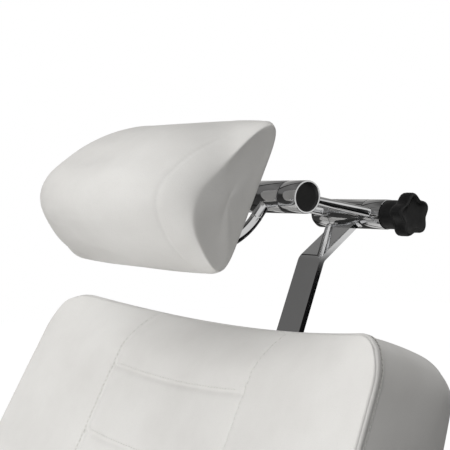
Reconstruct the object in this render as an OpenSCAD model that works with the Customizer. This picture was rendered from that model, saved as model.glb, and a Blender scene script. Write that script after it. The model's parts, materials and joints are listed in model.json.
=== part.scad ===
// Dental treatment chair: a telescopic lifting column on a floor plate, a seat
// with swing-up arms and a leg rest, a reclining back, and a headrest carried
// on a sliding flat bar by two friction hinges made from chromed tube.
// Millimetres. +Z is up, the sitter faces -Y, and +X is the sitter's left.
// The origin is on the floor, on the axis of the lifting column.

/* [Base] */
// Width of the floor plate across the chair
base_w = 560; // [520:10:620]
// Length of the floor plate along the chair
base_l = 780; // [740:10:860]
// Thickness of the floor plate
base_t = 12; // [10:1:14]
// Distance of the floor plate's middle behind the column
base_shift = 40; // [20:5:60]
// Diameter of the anchor holes in the floor plate
anchor_d = 13; // [11:1:15]
// Spacing of the anchor holes across the chair
anchor_x = 500; // [460:10:500]
// Spacing of the anchor holes along the chair
anchor_y = 720; // [680:10:720]

/* [Seat] */
// Height of the seat top above the floor, column down
seat_top = 560; // [555:1:565]
// Width of the seat cushion
seat_w = 520; // [500:5:540]
// Width of the leg cushion
leg_w = 480; // [440:10:500]
// Length of the leg cushion
leg_len = 446; // [400:2:460]
// Angle of the leg rest below the horizontal, as it stands
leg_drop = 35; // [34:0.5:36]

/* [Back] */
// Lean of the back from the vertical, as it stands
recline = 18.5; // [17:0.5:20]
// Width of the back at its top edge
back_w_top = 560; // [520:5:580]
// Width of the back at its bottom edge
back_w_low = 610; // [580:5:620]
// Height of the back cushion
back_h = 700; // [660:10:720]
// Thickness of the back cushion
back_t = 126; // [110:1:130]

/* [Arms] */
// Height of the arm hinge above the floor
arm_z = 730; // [700:5:760]
// Length of an arm pad
arm_pad_l = 390; // [340:10:400]
// Width of an arm pad
arm_pad_w = 70; // [60:2:74]

/* [Headrest] */
// Outside diameter of the chromed hinge tubes
tube_d = 40; // [38:0.5:42]
// Half the length of the front hinge tube
tube_half = 62; // [60:1:66]
// Length of the rear hinge tube on the star knob's side of its middle
rear_end = 66; // [64:1:70]
// Half the length of a hinge tube's middle section
mid_half = 29.5; // [28:0.5:31]
// Distance between the two hinge tubes
link_len = 140; // [130:1:150]
// Rise of the front hinge tube seen from the rear one
link_rise = 10; // [0:1:20]
// Width of the flat bar
bar_w = 41; // [36:1:44]
// Thickness of the flat bar
bar_t = 8; // [7:0.5:9]
// Angle of the bend near the top of the flat bar
bar_bend = 36; // [30:1:40]
// Width of the head cushion
pillow_w = 270; // [230:10:290]
// Height of the head cushion
pillow_h = 149; // [130:1:160]
// Lean of the head cushion from the vertical
pillow_lean = 20; // [15:1:25]
// Diameter of the rod that carries the head cushion
rod_d = 14; // [12:1:16]

/* [Hidden] */
$fn = 64;

fit = 0.05;          // radial gap between a shaft and its bore
eps = 1;             // how far a cutter runs past a face

// Floor plate and what stands on it
plate_z = 14;
floor_top = plate_z + base_t;
foot_x = 200;
foot_y = 340;
foot_stud_d = 12;
centre_pad_d = 120;
cover_w = 430;
cover_l = 620;
cover_h = 54;
cover_edge = 14;

// Lifting column: three square tubes, one inside the other
tube_wall = 5;
outer_w = 164;
middle_w = 148;
inner_w = 132;
outer_top = 262;
middle_z = 34;
middle_top = 345;
inner_z = 40;
head_z = 362;
head_w = 200;
head_t = 14;
head_top = head_z + head_t;
flange_w = 260;
flange_t = 8;
flange_top = floor_top + flange_t;
bolt_xy = 112;
glide_w = 80;
glide_h = 50;
shroud_wall = 3;
lower_shroud_w = 190;
middle_shroud_w = 198;
upper_shroud_w = 206;
lift_y = -14;
lift_rod_d = 25;

// Swivel
spindle_d = 80;
disc_d = 210;
disc_z = head_top + 2;
disc_t = 10;
disc_top = disc_z + disc_t;
lever_x = 88;
lever_stud_d = 10;

// Seat frame
rail_x = 175;
rail_w = 30;
rail_z = disc_top + 12;
rail_h = 50;
rail_top = rail_z + rail_h;
board_t = 12;
seat_front = -262;
seat_rear = 138;
seat_mid = (seat_front + seat_rear) / 2;
seat_len = seat_rear - seat_front;
ear_x = 186;         // middle of a hinge plate
ear_t = 8;
ear_r = 20;
pin_d = 14;
pin_head_d = 22;
pin_head_t = 4;

// Back hinge and the slotted drive that turns it
hinge_y = 165;
hinge_z = 500;
drive_z = 424;
drive_x = 70;
drive_d = 40;
drive_rod_d = 20;
yoke_t = 14;
crank_pin_d = 12;
crank_t = 8;
back_crank = 85;
back_crank_ang = 32.5;
back_play = 1.1;
leg_crank = 60;
leg_crank_ang = 5;
leg_play = 0.7;
back_pin_y = hinge_y + back_crank * sin(back_crank_ang);
back_rod_y = -93;

// Leg hinge
leg_hinge_y = -285;
leg_hinge_z = 480;
leg_tube_d = 28;
leg_pin_y = leg_hinge_y + leg_crank * sin(leg_crank_ang);
leg_board_w = leg_w - 30;
leg_gap = 24;        // from the leg hinge axis to the leg cushion
leg_rise = 80;       // from the leg hinge axis to the leg cushion's top

// Back, in its own frame: z up along the back, y to the rear, hinge at 0
back_z0 = 55;
back_z1 = back_z0 + back_h;
cushion_rear = 68;
board_rear = cushion_rear + board_t;
shell_rear = 126;
shell_wall = 4;
shell_inset = 62;    // from the cushion's side to the shell's side
hinge_tube_d = 32;
bush_d = 24;
bush_l = 30;
upright_x = 150;
frame_tube = 30;
frame_y0 = board_rear + 1;
frame_y1 = frame_y0 + frame_tube;
guide_z0 = 570;
guide_z1 = 745;
screw_z = 640;
screw_d = 8;

// Flat bar, in the frame of the back
bar_y = 91;          // middle of the bar's thickness
bar_z0 = 480;
bend_z = 848;
bend_r = 12;         // middle radius of the bend
bend_steps = 6;
bend_centre = [bar_y + bend_r, bend_z - bend_r * tan(bar_bend / 2)];
rear_y = 141.5;
rear_z = 924;
tube_r = tube_d / 2;
tube_bore = tube_d - 5;
sleeve_d = tube_bore - 2 * fit;
stud_d = 10;
stud_end = rear_end + 38;
knob_collar_l = 26;
knob_star_t = 23;
knob_r = 29.5;       // to the tips of the star's five lobes
rear_world_y = hinge_y + rear_y * cos(recline) + rear_z * sin(recline);
rear_world_z = hinge_z - rear_y * sin(recline) + rear_z * cos(recline);

// Head cushion, in the frame of the front tube
rod_arc_r = 75;
rod_arc = 74;
rod_start = 8;
rod_straight = 25;
pillow_rear = -130;
pillow_top = 25;
rod_top_y = -rod_start - rod_straight * cos(rod_arc);
rod_top_z = -rod_start - rod_straight * sin(rod_arc);
rod_low_y = rod_top_y - rod_arc_r * sin(rod_arc);
rod_low_z = rod_top_z - rod_arc_r * (1 - cos(rod_arc));

// ---- placing and shape helpers ----

module at_back() translate([0, hinge_y, hinge_z]) rotate([-recline, 0, 0]) children();

module at_leg() translate([0, leg_hinge_y, leg_hinge_z]) rotate([leg_drop, 0, 0]) children();

module at_rear_tube() translate([0, rear_world_y, rear_world_z]) children();

module at_link() at_rear_tube() rotate([-link_rise, 0, 0]) children();

module at_front_tube() at_link() translate([0, -link_len, 0]) rotate([link_rise, 0, 0]) children();

module at_pillow() at_front_tube() rotate([-pillow_lean, 0, 0]) children();

module both_sides() {
    children();
    mirror([1, 0, 0]) children();
}

module four_ways(x, y) for (sx = [-1, 1], sy = [-1, 1]) translate([sx * x, sy * y, 0]) children();

// A round bar along X between two places
module bar_x(x0, x1, d) translate([x0, 0, 0]) rotate([0, 90, 0]) cylinder(h = x1 - x0, d = d);

// A round tube along X between two places
module tube_x(x0, x1, od, id) difference() {
    bar_x(x0, x1, od);
    bar_x(x0 - eps, x1 + eps, id);
}

module rounded_rect(w, l, r) {
    square([w - 2 * r, l], center = true);
    square([w, l - 2 * r], center = true);
    for (sx = [-1, 1], sy = [-1, 1])
        translate([sx * (w / 2 - r), sy * (l / 2 - r)]) circle(r);
}

module slab(w, l, h, r) linear_extrude(h) rounded_rect(w, l, r);

// A slab whose top edges are rounded by a quarter circle
module soft_slab(w, l, h, r, edge) {
    slab(w, l, h - edge, r);
    slab(w - 2 * edge, l - 2 * edge, h, r - edge);
    for (s = [-1, 1]) {
        translate([-w / 2 + r, s * (l / 2 - edge), h - edge]) rotate([0, 90, 0])
            cylinder(h = w - 2 * r, r = edge);
        translate([s * (w / 2 - edge), l / 2 - r, h - edge]) rotate([90, 0, 0])
            cylinder(h = l - 2 * r, r = edge);
    }
    four_ways(w / 2 - r, l / 2 - r) translate([0, 0, h - edge])
        rotate_extrude() translate([r - edge, 0]) intersection() {
            circle(edge);
            translate([0, -edge]) square([edge, 2 * edge]);
        }
}

// A square tube standing on z = 0
module square_tube(w, h, wall, r) difference() {
    slab(w, w, h, r);
    translate([0, 0, -eps]) slab(w - 2 * wall, w - 2 * wall, h + 2 * eps, max(r - wall, 1));
}

// A panel in the XZ plane that widens downwards, with round corners
module tapered_panel(w_top, w_low, z0, z1, r, y0, y1) {
    lean = atan((w_low - w_top) / 2 / (z1 - z0));
    top_x = w_top / 2 - r * (1 - sin(lean)) / cos(lean);
    low_x = w_low / 2 - r * (1 + sin(lean)) / cos(lean);
    // the straight sides run just inside the corner circles
    reach = r - 0.1;
    top_side = [top_x + reach * cos(lean), z1 - r + reach * sin(lean)];
    low_side = [low_x + reach * cos(lean), z0 + r + reach * sin(lean)];
    top_z = z1 - r + reach;
    low_z = z0 + r - reach;
    translate([0, y1, 0]) rotate([90, 0, 0]) linear_extrude(y1 - y0) {
        polygon([[top_x, top_z], [-top_x, top_z], [-top_side[0], top_side[1]],
            [-low_side[0], low_side[1]], [-low_x, low_z], [low_x, low_z], low_side, top_side]);
        for (s = [-1, 1]) {
            translate([s * top_x, z1 - r]) circle(r);
            translate([s * low_x, z0 + r]) circle(r);
        }
    }
}

// A plate across X, cut from an outline drawn in the YZ plane
module plate_yz(x, t) translate([x - t / 2, 0, 0]) rotate([90, 0, 90]) linear_extrude(t) children();

// A hinge pin along X with its head at the far end
module hinge_pin(x0, x1) {
    bar_x(x0, x1, pin_d);
    bar_x(x1, x1 + pin_head_t, pin_head_d);
}

// A five-lobed knob along Z, standing on z = 0
module lobed_knob(r, lobe_r, h) linear_extrude(h) {
    circle(r - 0.85 * lobe_r);
    for (k = [0:4]) rotate(90 + 72 * k) translate([r - lobe_r, 0]) circle(lobe_r);
}

// ---- floor plate, covers and pedals ----

module base_plate() color("dimgray") translate([0, base_shift, plate_z]) difference() {
    slab(base_w, base_l, base_t, 50);
    translate([0, 0, -eps]) {
        four_ways(anchor_x / 2, anchor_y / 2) cylinder(h = base_t + 2 * eps, d = anchor_d);
        four_ways(foot_x, foot_y) cylinder(h = base_t + 2 * eps, d = foot_stud_d);
        translate([0, -base_shift, 0]) four_ways(bolt_xy, bolt_xy)
            cylinder(h = base_t + 2 * eps, d = foot_stud_d);
    }
}

module base_cover() color("whitesmoke") difference() {
    translate([0, base_shift, floor_top]) difference() {
        soft_slab(cover_w, cover_l, cover_h, 50, cover_edge);
        translate([0, 0, -eps]) soft_slab(cover_w - 8, cover_l - 8, cover_h - 4 + eps, 46, cover_edge - 4);
    }
    opening = lower_shroud_w + 1;
    translate([0, 0, floor_top + cover_h / 2]) slab(opening, opening, cover_h, 14);
}

// Four feet on studs, and a rubber pad that carries the plate under the column
module levelling_feet() {
    translate([0, base_shift, 0]) four_ways(foot_x, foot_y) {
        color("black") cylinder(h = plate_z - 4, d = 50);
        color("silver") translate([0, 0, plate_z - 4]) cylinder(h = base_t + 20, d = foot_stud_d);
        color("silver") translate([0, 0, plate_z - 4]) cylinder(h = 4, d = 26);
        color("silver") translate([0, 0, floor_top]) cylinder(h = 9, d = 22, $fn = 6);
    }
    color("black") cylinder(h = plate_z, d = centre_pad_d);
}

module column_outer() color("gray") translate([0, 0, floor_top]) difference() {
    union() {
        slab(flange_w, flange_w, flange_t, 20);
        slab(outer_w, outer_w, outer_top - floor_top, 8);
    }
    bore_w = outer_w - 2 * tube_wall;
    translate([0, 0, -eps]) slab(bore_w, bore_w, outer_top, 3);
    translate([0, 0, -eps]) four_ways(bolt_xy, bolt_xy) cylinder(h = 20, d = foot_stud_d);
}

module column_bolts() color("silver") translate([0, 0, plate_z]) four_ways(bolt_xy, bolt_xy) {
    cylinder(h = base_t + flange_t, d = foot_stud_d);
    translate([0, 0, base_t + flange_t]) cylinder(h = 8, d = 21, $fn = 6);
}

// Four flat slide pads inside a square tube whose outside is tube_w wide
module glide_pads(tube_w, slider_w) {
    pad_t = (tube_w - slider_w) / 2 - tube_wall - fit;
    for (a = [0:90:270]) rotate([0, 0, a])
        translate([-glide_w / 2, slider_w / 2 + fit, 0]) cube([glide_w, pad_t, glide_h]);
}

module lower_glides() color("ivory") translate([0, 0, outer_top - glide_h]) glide_pads(outer_w, middle_w);

module upper_glides() color("ivory") translate([0, 0, middle_top - glide_h]) glide_pads(middle_w, inner_w);

module lift_drive() color("darkslategray") translate([0, 0, floor_top]) difference() {
    union() {
        translate([-30, -44, 0]) cube([60, 100, 34]);
        translate([0, lift_y, 0]) cylinder(h = 274, d = 54);
        translate([0, 35, 0]) cylinder(h = 150, d = 40);
    }
    translate([0, lift_y, 14]) cylinder(h = 300, d = lift_rod_d + 2 * fit);
}

module lift_rod() color("silver") translate([0, lift_y, floor_top + 18])
    cylinder(h = head_z - floor_top - 18, d = lift_rod_d);

// A square shroud with an inward rim of the given opening at its top
module shroud(w, z0, z1, rim_w) color("whitesmoke") translate([0, 0, z0]) {
    square_tube(w, z1 - z0, shroud_wall, 14 + (w - lower_shroud_w) / 2);
    if (rim_w > 0) translate([0, 0, z1 - z0 - 4]) difference() {
        slab(w - shroud_wall, w - shroud_wall, 4, 12);
        translate([-rim_w / 2, -rim_w / 2, -eps]) cube([rim_w, rim_w, 4 + 2 * eps]);
    }
}

module lower_shroud() shroud(lower_shroud_w, flange_top, 325, 0);

module middle_shroud() shroud(middle_shroud_w, 175, 335, middle_w);

module upper_shroud() shroud(upper_shroud_w, 180, head_z, inner_w);

module power_box() color("darkslategray") translate([-80, 160, floor_top]) difference() {
    cube([160, 100, 42]);
    translate([20, 92, 10]) cube([28, 8 + eps, 20]);
}

module pedal_housing() color("dimgray") translate([0, -310, floor_top]) {
    slab(236, 70, 10, 8);
    for (x = [-115, 0, 115]) translate([x - 3, -28, 9]) cube([6, 56, 20]);
    translate([0, 0, 22]) bar_x(-116, 116, 8);
}

module pedal() difference() {
    union() {
        translate([5, -30, 4]) cube([104, 60, 7]);
        translate([5, 0, 0]) bar_x(0, 104, 18);
        for (s = [-1, 1]) for (k = [0:3])
            translate([14, s * (12 + 5 * k) - 1, 10]) cube([86, 2, 2]);
    }
    bar_x(0, 120, 8 + 2 * fit);
}

module pedal_left() color("black") translate([0, -310, floor_top + 22]) pedal();

module pedal_right() color("black") translate([-114, -310, floor_top + 22]) pedal();

module column_middle() color("lightgray") translate([0, 0, middle_z])
    square_tube(middle_w, middle_top - middle_z, tube_wall, 6);

module column_inner() color("lightgray") {
    translate([0, 0, inner_z]) square_tube(inner_w, head_z - inner_z, tube_wall, 6);
    translate([0, 0, head_z]) difference() {
        slab(head_w, head_w, head_t, 12);
        translate([0, 0, 4]) cylinder(h = head_t, d = spindle_d + 2 * fit);
    }
}

module swivel_bearing() color("ivory") translate([0, 0, head_top]) difference() {
    cylinder(h = disc_z - head_top - fit, d = 150);
    translate([0, 0, -eps]) cylinder(h = 6, d = 92);
}

// ---- seat ----

module swivel_plate() color("gray") difference() {
    union() {
        translate([0, 0, disc_z]) cylinder(h = disc_t, d = disc_d);
        translate([0, 0, head_z + 4.3]) cylinder(h = disc_z - head_z - 4, d = spindle_d);
    }
    translate([lever_x, 0, disc_z - eps]) cylinder(h = 20, d = lever_stud_d + 2 * fit);
}

module swivel_lever() translate([lever_x, 0, 0]) {
    color("silver") translate([0, 0, head_top + 0.3]) cylinder(h = 16, d = lever_stud_d);
    color("silver") translate([0, 0, disc_top + 0.3]) cylinder(h = 10, d = 26);
    color("silver") translate([0, 0, disc_top + 5]) bar_x(0, 130, 9);
    color("black") translate([0, 0, disc_top + 5]) bar_x(120, 196, 13);
    color("black") translate([196, 0, disc_top + 5]) sphere(d = 13);
}

// The hinge plates that stand on the rails, one pair at each end of the seat
module hinge_ears() both_sides() {
    plate_yz(ear_x, ear_t) difference() {
        union() {
            translate([hinge_y, hinge_z]) circle(ear_r);
            translate([hinge_y - 18, rail_top - 10]) square([38, hinge_z - rail_top + 10]);
        }
        translate([hinge_y, hinge_z]) circle(d = pin_d);
    }
    plate_yz(ear_x, ear_t) difference() {
        union() {
            translate([leg_hinge_y, leg_hinge_z]) circle(ear_r);
            translate([leg_hinge_y + 4, rail_z]) square([14, leg_hinge_z - rail_z]);
            translate([leg_hinge_y + 4, rail_z]) square([30, rail_h]);
        }
        translate([leg_hinge_y, leg_hinge_z]) circle(d = pin_d);
    }
}

module seat_rail() translate([rail_x, 0, rail_z]) {
    rail_front = -270;
    rail_rear = 190;
    difference() {
        translate([-rail_w / 2, rail_front, 0]) cube([rail_w, rail_rear - rail_front, rail_h]);
        translate([-rail_w / 2 + 3, rail_front - eps, 3])
            cube([rail_w - 6, rail_rear - rail_front + 2 * eps, rail_h - 6]);
    }
}

// A cradle that holds one drive tube down on a cross plate
module drive_cradle(x, y) difference() {
    translate([x - 24, y - 10, rail_z - 1]) cube([48, 20, drive_z - rail_z + 1]);
    translate([x, y - 20, drive_z]) rotate([-90, 0, 0]) cylinder(h = 40, d = drive_d);
}

module seat_frame() color("gray") {
    both_sides() seat_rail();
    for (y = [-235, -92, 92]) translate([-rail_x - 15, y - 18, disc_top]) cube([2 * rail_x + 30, 36, 12]);
    hinge_ears();
    for (y = [-92, 50]) drive_cradle(-drive_x, y);
    for (y = [-175, -92]) drive_cradle(drive_x, y);
    translate([-drive_x - 24, -92, disc_top]) cube([48, 184, 12]);
    translate([drive_x - 24, -235, disc_top]) cube([48, 143, 12]);
}

module seat_board() color("burlywood") translate([0, seat_mid, rail_top])
    slab(seat_w - 20, seat_len - 24, board_t, 40);

module seat_cushion() color("linen") translate([0, seat_mid, rail_top + board_t])
    slab(seat_w, seat_len, seat_top - rail_top - board_t, 45);

module hinge_pins() color("silver") both_sides() {
    for (p = [[hinge_y, hinge_z], [leg_hinge_y, leg_hinge_z]])
        translate([0, p[0], p[1]]) hinge_pin(152, ear_x + ear_t / 2);
    translate([0, 120, arm_z]) hinge_pin(325, 352);
}

module arm_posts() color("silver") both_sides() {
    translate([rail_x + rail_w / 2, 95, rail_z + 10]) cube([145, 50, 10]);
    difference() {
        union() {
            translate([325, 95, rail_z + 10]) cube([10, 50, arm_z - rail_z - 30]);
            translate([325, 100, arm_z - 21]) cube([10, 40, 21]);
            translate([0, 120, arm_z]) bar_x(325, 335, 40);
        }
        translate([0, 120, arm_z]) bar_x(320, 340, pin_d);
    }
}

// The left arm: a flat steel bar on its hinge, and the plate under the pad
module arm_bar() translate([0, 120, arm_z]) difference() {
    union() {
        bar_x(337, 351, 44);
        translate([337, -arm_pad_l + 60, -14]) cube([14, arm_pad_l - 60, 36]);
        translate([344 - arm_pad_w / 2 + 4, -arm_pad_l + 30, 22]) cube([arm_pad_w - 8, arm_pad_l - 10, 5]);
    }
    bar_x(330, 360, pin_d + 2 * fit);
}

module arm_pad() translate([344, 120 - arm_pad_l / 2 + 25, arm_z + 27])
    slab(arm_pad_w, arm_pad_l, 36, 26);

module arm_left() color("silver") arm_bar();

module arm_right() color("silver") mirror([1, 0, 0]) arm_bar();

module arm_pad_left() color("linen") arm_pad();

module arm_pad_right() color("linen") mirror([1, 0, 0]) arm_pad();

// A linear drive lying along Y: tube, gear box at its closed end, motor beside it
module linear_drive(len, bore_len) difference() {
    union() {
        rotate([-90, 0, 0]) cylinder(h = len, d = drive_d);
        translate([-22, -36, -20]) cube([86, 40, 40]);
        translate([42, 0, 0]) rotate([-90, 0, 0]) cylinder(h = 110, d = 34);
    }
    translate([0, len - bore_len, 0]) rotate([-90, 0, 0])
        cylinder(h = bore_len + eps, d = drive_rod_d + 2 * fit);
}

module back_drive() color("darkslategray") translate([-drive_x, -204, drive_z])
    linear_drive(289, 283);

module leg_drive() color("darkslategray") translate([drive_x, 54, drive_z])
    rotate([0, 0, 180]) linear_drive(269, 265);

// A drive rod along Y ending in a plate with an upright slot for a crank pin
module slotted_rod(len, slot_y, slot_z, slot_w, slot_h) difference() {
    union() {
        rotate([-90, 0, 0]) cylinder(h = len, d = drive_rod_d);
        translate([-yoke_t / 2, slot_y - 20, -20]) cube([yoke_t, 40, 40]);
    }
    translate([-yoke_t / 2 - eps, slot_y, slot_z]) {
        translate([0, -slot_w / 2, -slot_h / 2]) cube([yoke_t + 2 * eps, slot_w, slot_h]);
        for (s = [-1, 1]) translate([0, 0, s * slot_h / 2]) bar_x(0, yoke_t + 2 * eps, slot_w);
    }
}

module back_rod() color("silver") translate([-drive_x, back_rod_y, drive_z])
    slotted_rod(back_pin_y - back_rod_y - 18, back_pin_y - back_rod_y,
        hinge_z - back_crank * (1 + cos(37.5)) / 2 - drive_z, crank_pin_d + 2 * back_play, 18);

module leg_rod() color("silver") translate([drive_x, leg_pin_y + 270, drive_z]) rotate([0, 0, 180])
    slotted_rod(252, 270, leg_hinge_z - leg_crank * (1 + cos(30)) / 2 - drive_z,
        crank_pin_d + 2 * leg_play, 9);

// ---- back ----

// The place of a crank pin seen from a hinge whose frame is turned by lean
function crank_y(r, ang, lean) = r * sin(ang) * cos(lean) + r * cos(ang) * sin(lean);
function crank_z(r, ang, lean) = r * sin(ang) * sin(lean) - r * cos(ang) * cos(lean);

back_py = crank_y(back_crank, back_crank_ang, recline);
back_pz = crank_z(back_crank, back_crank_ang, recline);
leg_py = crank_y(leg_crank, leg_crank_ang, -leg_drop);
leg_pz = crank_z(leg_crank, leg_crank_ang, -leg_drop);

// Two plates either side of a yoke, joined by the crank pin between them
module crank_pair(x, py, pz) {
    for (s = [-1, 1]) plate_yz(x + s * 12, crank_t) {
        translate([py, pz]) circle(14);
        children();
    }
    translate([0, py, pz]) bar_x(x - 16, x + 16, crank_pin_d);
}

module back_arm_plate() plate_yz(upright_x, 8) {
    circle(d = hinge_tube_d);
    polygon([[-8, -14], [24, -14], [frame_y1, 34], [frame_y1, 150],
        [frame_y0, 150], [frame_y0, 52], [60, 48], [-6, 15]]);
}

module bar_guide() difference() {
    union() {
        translate([-25, bar_y - 7, guide_z0]) cube([50, frame_y1 - bar_y - 3, guide_z1 - guide_z0]);
        translate([0, 0, screw_z]) rotate([-90, 0, 0]) cylinder(h = 120, d = 22);
    }
    translate([-bar_w / 2 - fit, bar_y - bar_t / 2 - fit, 0])
        cube([bar_w + 2 * fit, bar_t + 2 * fit, 1000]);
    translate([-40, 0, screw_z - 30]) cube([80, bar_y - 7, 60]);
    translate([0, 0, screw_z]) rotate([-90, 0, 0]) cylinder(h = 130, d = screw_d + 2 * fit);
}

module back_frame() color("gray") at_back() {
    tube_x(-ear_x + ear_t / 2 + 0.5, ear_x - ear_t / 2 - 0.5, hinge_tube_d, bush_d);
    both_sides() difference() {
        back_arm_plate();
        bar_x(0, 200, bush_d);
    }
    both_sides() difference() {
        translate([upright_x - 15, frame_y0, 36]) cube([frame_tube, frame_tube, 680]);
        translate([upright_x - 12, frame_y0 + 3, 30]) cube([24, 24, 700]);
    }
    translate([-upright_x + 15, frame_y0, 20]) cube([2 * upright_x - 30, frame_tube, 30]);
    for (z = [580, 700]) translate([-upright_x, frame_y1 - 10, z]) cube([2 * upright_x, 10, 30]);
    crank_pair(-drive_x, back_py, back_pz)
        polygon([[frame_y0, 48], [frame_y0, 18], [back_py - 12, back_pz + 7],
            [back_py + 13, back_pz - 6], [frame_y1, 20], [frame_y1, 48]]);
    bar_guide();
}

module back_bushes() color("ivory") at_back() both_sides()
    tube_x(ear_x - ear_t / 2 - 0.5 - bush_l, ear_x - ear_t / 2 - 0.5, bush_d, pin_d + 2 * fit);

module back_board() color("burlywood") at_back()
    tapered_panel(back_w_top - 30, back_w_low - 30, back_z0 + 5, back_z1 - 10, 25,
        cushion_rear, board_rear);

module back_cushion() color("linen") at_back()
    tapered_panel(back_w_top, back_w_low, back_z0, back_z1, 30, cushion_rear - back_t, cushion_rear);

module back_shell() color("whitesmoke") at_back() difference() {
    tapered_panel(back_w_top - 2 * shell_inset, back_w_low - 2 * shell_inset,
        back_z0 + 5, back_z1 - 8, 40, board_rear, shell_rear);
    tapered_panel(back_w_top - 2 * (shell_inset + shell_wall), back_w_low - 2 * (shell_inset + shell_wall),
        back_z0 + 5 + shell_wall, back_z1 - 8 - shell_wall, 36, board_rear - eps, shell_rear - shell_wall);
    translate([-178, board_rear - eps, back_z0 - 10]) cube([356, shell_rear - shell_wall - board_rear + eps, 40]);
    translate([-30, board_rear - eps, back_z1 - 30]) cube([60, 34, 40]);
    translate([0, 100, screw_z]) rotate([-90, 0, 0]) cylinder(h = 40, d = 26);
}

module bar_screw() color("silver") at_back() translate([0, bar_y + bar_t / 2 + 0.1, screw_z])
    rotate([-90, 0, 0]) cylinder(h = 50, d = screw_d);

module bar_knob() color("black") at_back() translate([0, shell_rear + 1, screw_z]) rotate([-90, 0, 0])
    difference() {
        union() {
            cylinder(h = 8, d = 24);
            translate([0, 0, 6]) lobed_knob(24, 8, 18);
        }
        translate([0, 0, -eps]) cylinder(h = bar_y + bar_t / 2 + 50.1 - shell_rear, d = screw_d);
    }

// ---- headrest bar and rear hinge tube ----

// One side of the flat bar's outline in the YZ plane, off its middle line by out
function bar_side(out, end) = concat(
    [[bar_y - out, bar_z0]],
    [for (k = [0:bend_steps]) bend_centre + (bend_r + out)
        * [-cos(bar_bend * k / bend_steps), sin(bar_bend * k / bend_steps)]],
    [[bar_y, bend_z] + end * [sin(bar_bend), cos(bar_bend)] + out * [-cos(bar_bend), sin(bar_bend)]]);

module headrest_bar() color("silver") at_back() difference() {
    upper = 84;
    brace_x = 16;
    brace_d = 9;
    brace_low = bend_z + 3;
    brace_top = bend_z + 43;
    front_side = bar_side(bar_t / 2, upper);
    union() {
        plate_yz(0, bar_w) polygon(concat(bar_side(-bar_t / 2, upper),
            [for (k = [len(front_side) - 1:-1:0]) front_side[k]]));
        translate([0, rear_y, rear_z]) bar_x(-mid_half, mid_half, tube_d);
        translate([brace_x, bar_y - 1, brace_low]) cylinder(h = brace_top - brace_low, d = brace_d);
        translate([brace_x, bar_y - 1, brace_top]) sphere(d = brace_d);
    }
    translate([0, rear_y, rear_z]) bar_x(-mid_half - eps, mid_half + eps, tube_bore);
}

module rear_sleeve() color("gray") at_rear_tube() tube_x(8 - tube_half, rear_end - 8, sleeve_d, 26);

module clamp_stud() color("silver") at_rear_tube() bar_x(1 - tube_half, stud_end, stud_d);

module star_knob() color("black") at_rear_tube() translate([rear_end + 0.3, 0, 0]) rotate([0, 90, 0])
    rotate([0, 0, -118]) difference() {
        union() {
            cylinder(h = knob_collar_l, d = 38);
            translate([0, 0, knob_collar_l - eps]) lobed_knob(knob_r, 9, knob_star_t);
        }
        translate([0, 0, -eps]) cylinder(h = stud_end - rear_end - 0.3 + eps, d = stud_d);
    }

// ---- two-way link between the hinge tubes ----

// One side of the link: a rear knuckle as far as end, a rod and a front knuckle
module link_side(end) {
    knuckle = mid_half + 1;
    tube_x(knuckle, end, tube_d, tube_bore);
    tube_x(end - 7, end - 2, tube_bore + 1, stud_d + 2 * fit);
    translate([0, -link_len, 0]) {
        tube_x(knuckle, tube_half, tube_d, tube_bore);
        tube_x(46, 51, tube_bore + 1, stud_d + 2 * fit);
    }
    translate([46, -tube_r + 1.5, 0]) rotate([90, 0, 0])
        cylinder(h = link_len - tube_d + 3, d = 12);
}

module link_left() color("silver") at_link() link_side(rear_end);

module link_right() color("silver") at_link() mirror([1, 0, 0]) link_side(tube_half);

module clamp_nut() color("dimgray") at_rear_tube() translate([-tube_half - 5, 0, 0]) difference() {
    bar_x(0, 7, tube_bore - 1);
    bar_x(5, 8, stud_d + 2 * fit);
}

module front_bolt() color("silver") at_front_tube() {
    bar_x(-51, 51, stud_d);
    for (s = [-1, 1]) translate([s * 53, 0, 0]) rotate([0, 90, 0])
        cylinder(h = 4, d = 19, center = true, $fn = 6);
}

module friction_washers() color("dimgray") for (s = [-1, 1]) {
    at_rear_tube() translate([s * (mid_half + 0.5), 0, 0]) tube_x(-0.4, 0.4, tube_d - 2, tube_bore);
    at_front_tube() translate([s * (mid_half + 0.5), 0, 0]) tube_x(-0.4, 0.4, tube_d - 2, tube_bore);
}

module tube_plugs() color("black") at_front_tube() both_sides() difference() {
    bar_x(51, 57, tube_bore);
    bar_x(50, 55.5, 24);
}

// ---- headrest ----

module headrest_arm() color("silver") {
    at_front_tube() tube_x(-mid_half, mid_half, tube_d, tube_bore);
    at_pillow() difference() {
        union() {
            translate([0, -rod_start, -rod_start]) rotate([rod_arc, 0, 0]) rotate([90, 0, 0])
                cylinder(h = rod_straight, d = rod_d);
            translate([0, rod_low_y, rod_low_z + rod_arc_r]) rotate([90, 0, 90]) rotate([0, 0, -90])
                rotate_extrude(angle = rod_arc, $fn = 96) translate([rod_arc_r, 0]) circle(d = rod_d);
            for (p = [[rod_low_y, rod_low_z], [rod_top_y, rod_top_z]])
                translate([0, p[0], p[1]]) sphere(d = rod_d + 0.4);
            translate([0, pillow_rear + 12, rod_low_z]) rotate([-90, 0, 0])
                cylinder(h = rod_low_y - pillow_rear - 12, d = rod_d);
            translate([-45, pillow_rear + 9, rod_low_z - 25]) cube([90, 4, 50]);
        }
        bar_x(-50, 50, tube_bore);
    }
}

module front_sleeve() color("gray") at_front_tube() tube_x(-45, 45, sleeve_d, 26);

module headrest_board() color("black") at_pillow()
    translate([0, pillow_rear + 9, pillow_top - pillow_h / 2]) rotate([90, 0, 0])
        slab(pillow_w - 44, pillow_h - 34, 9, 20);

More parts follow.
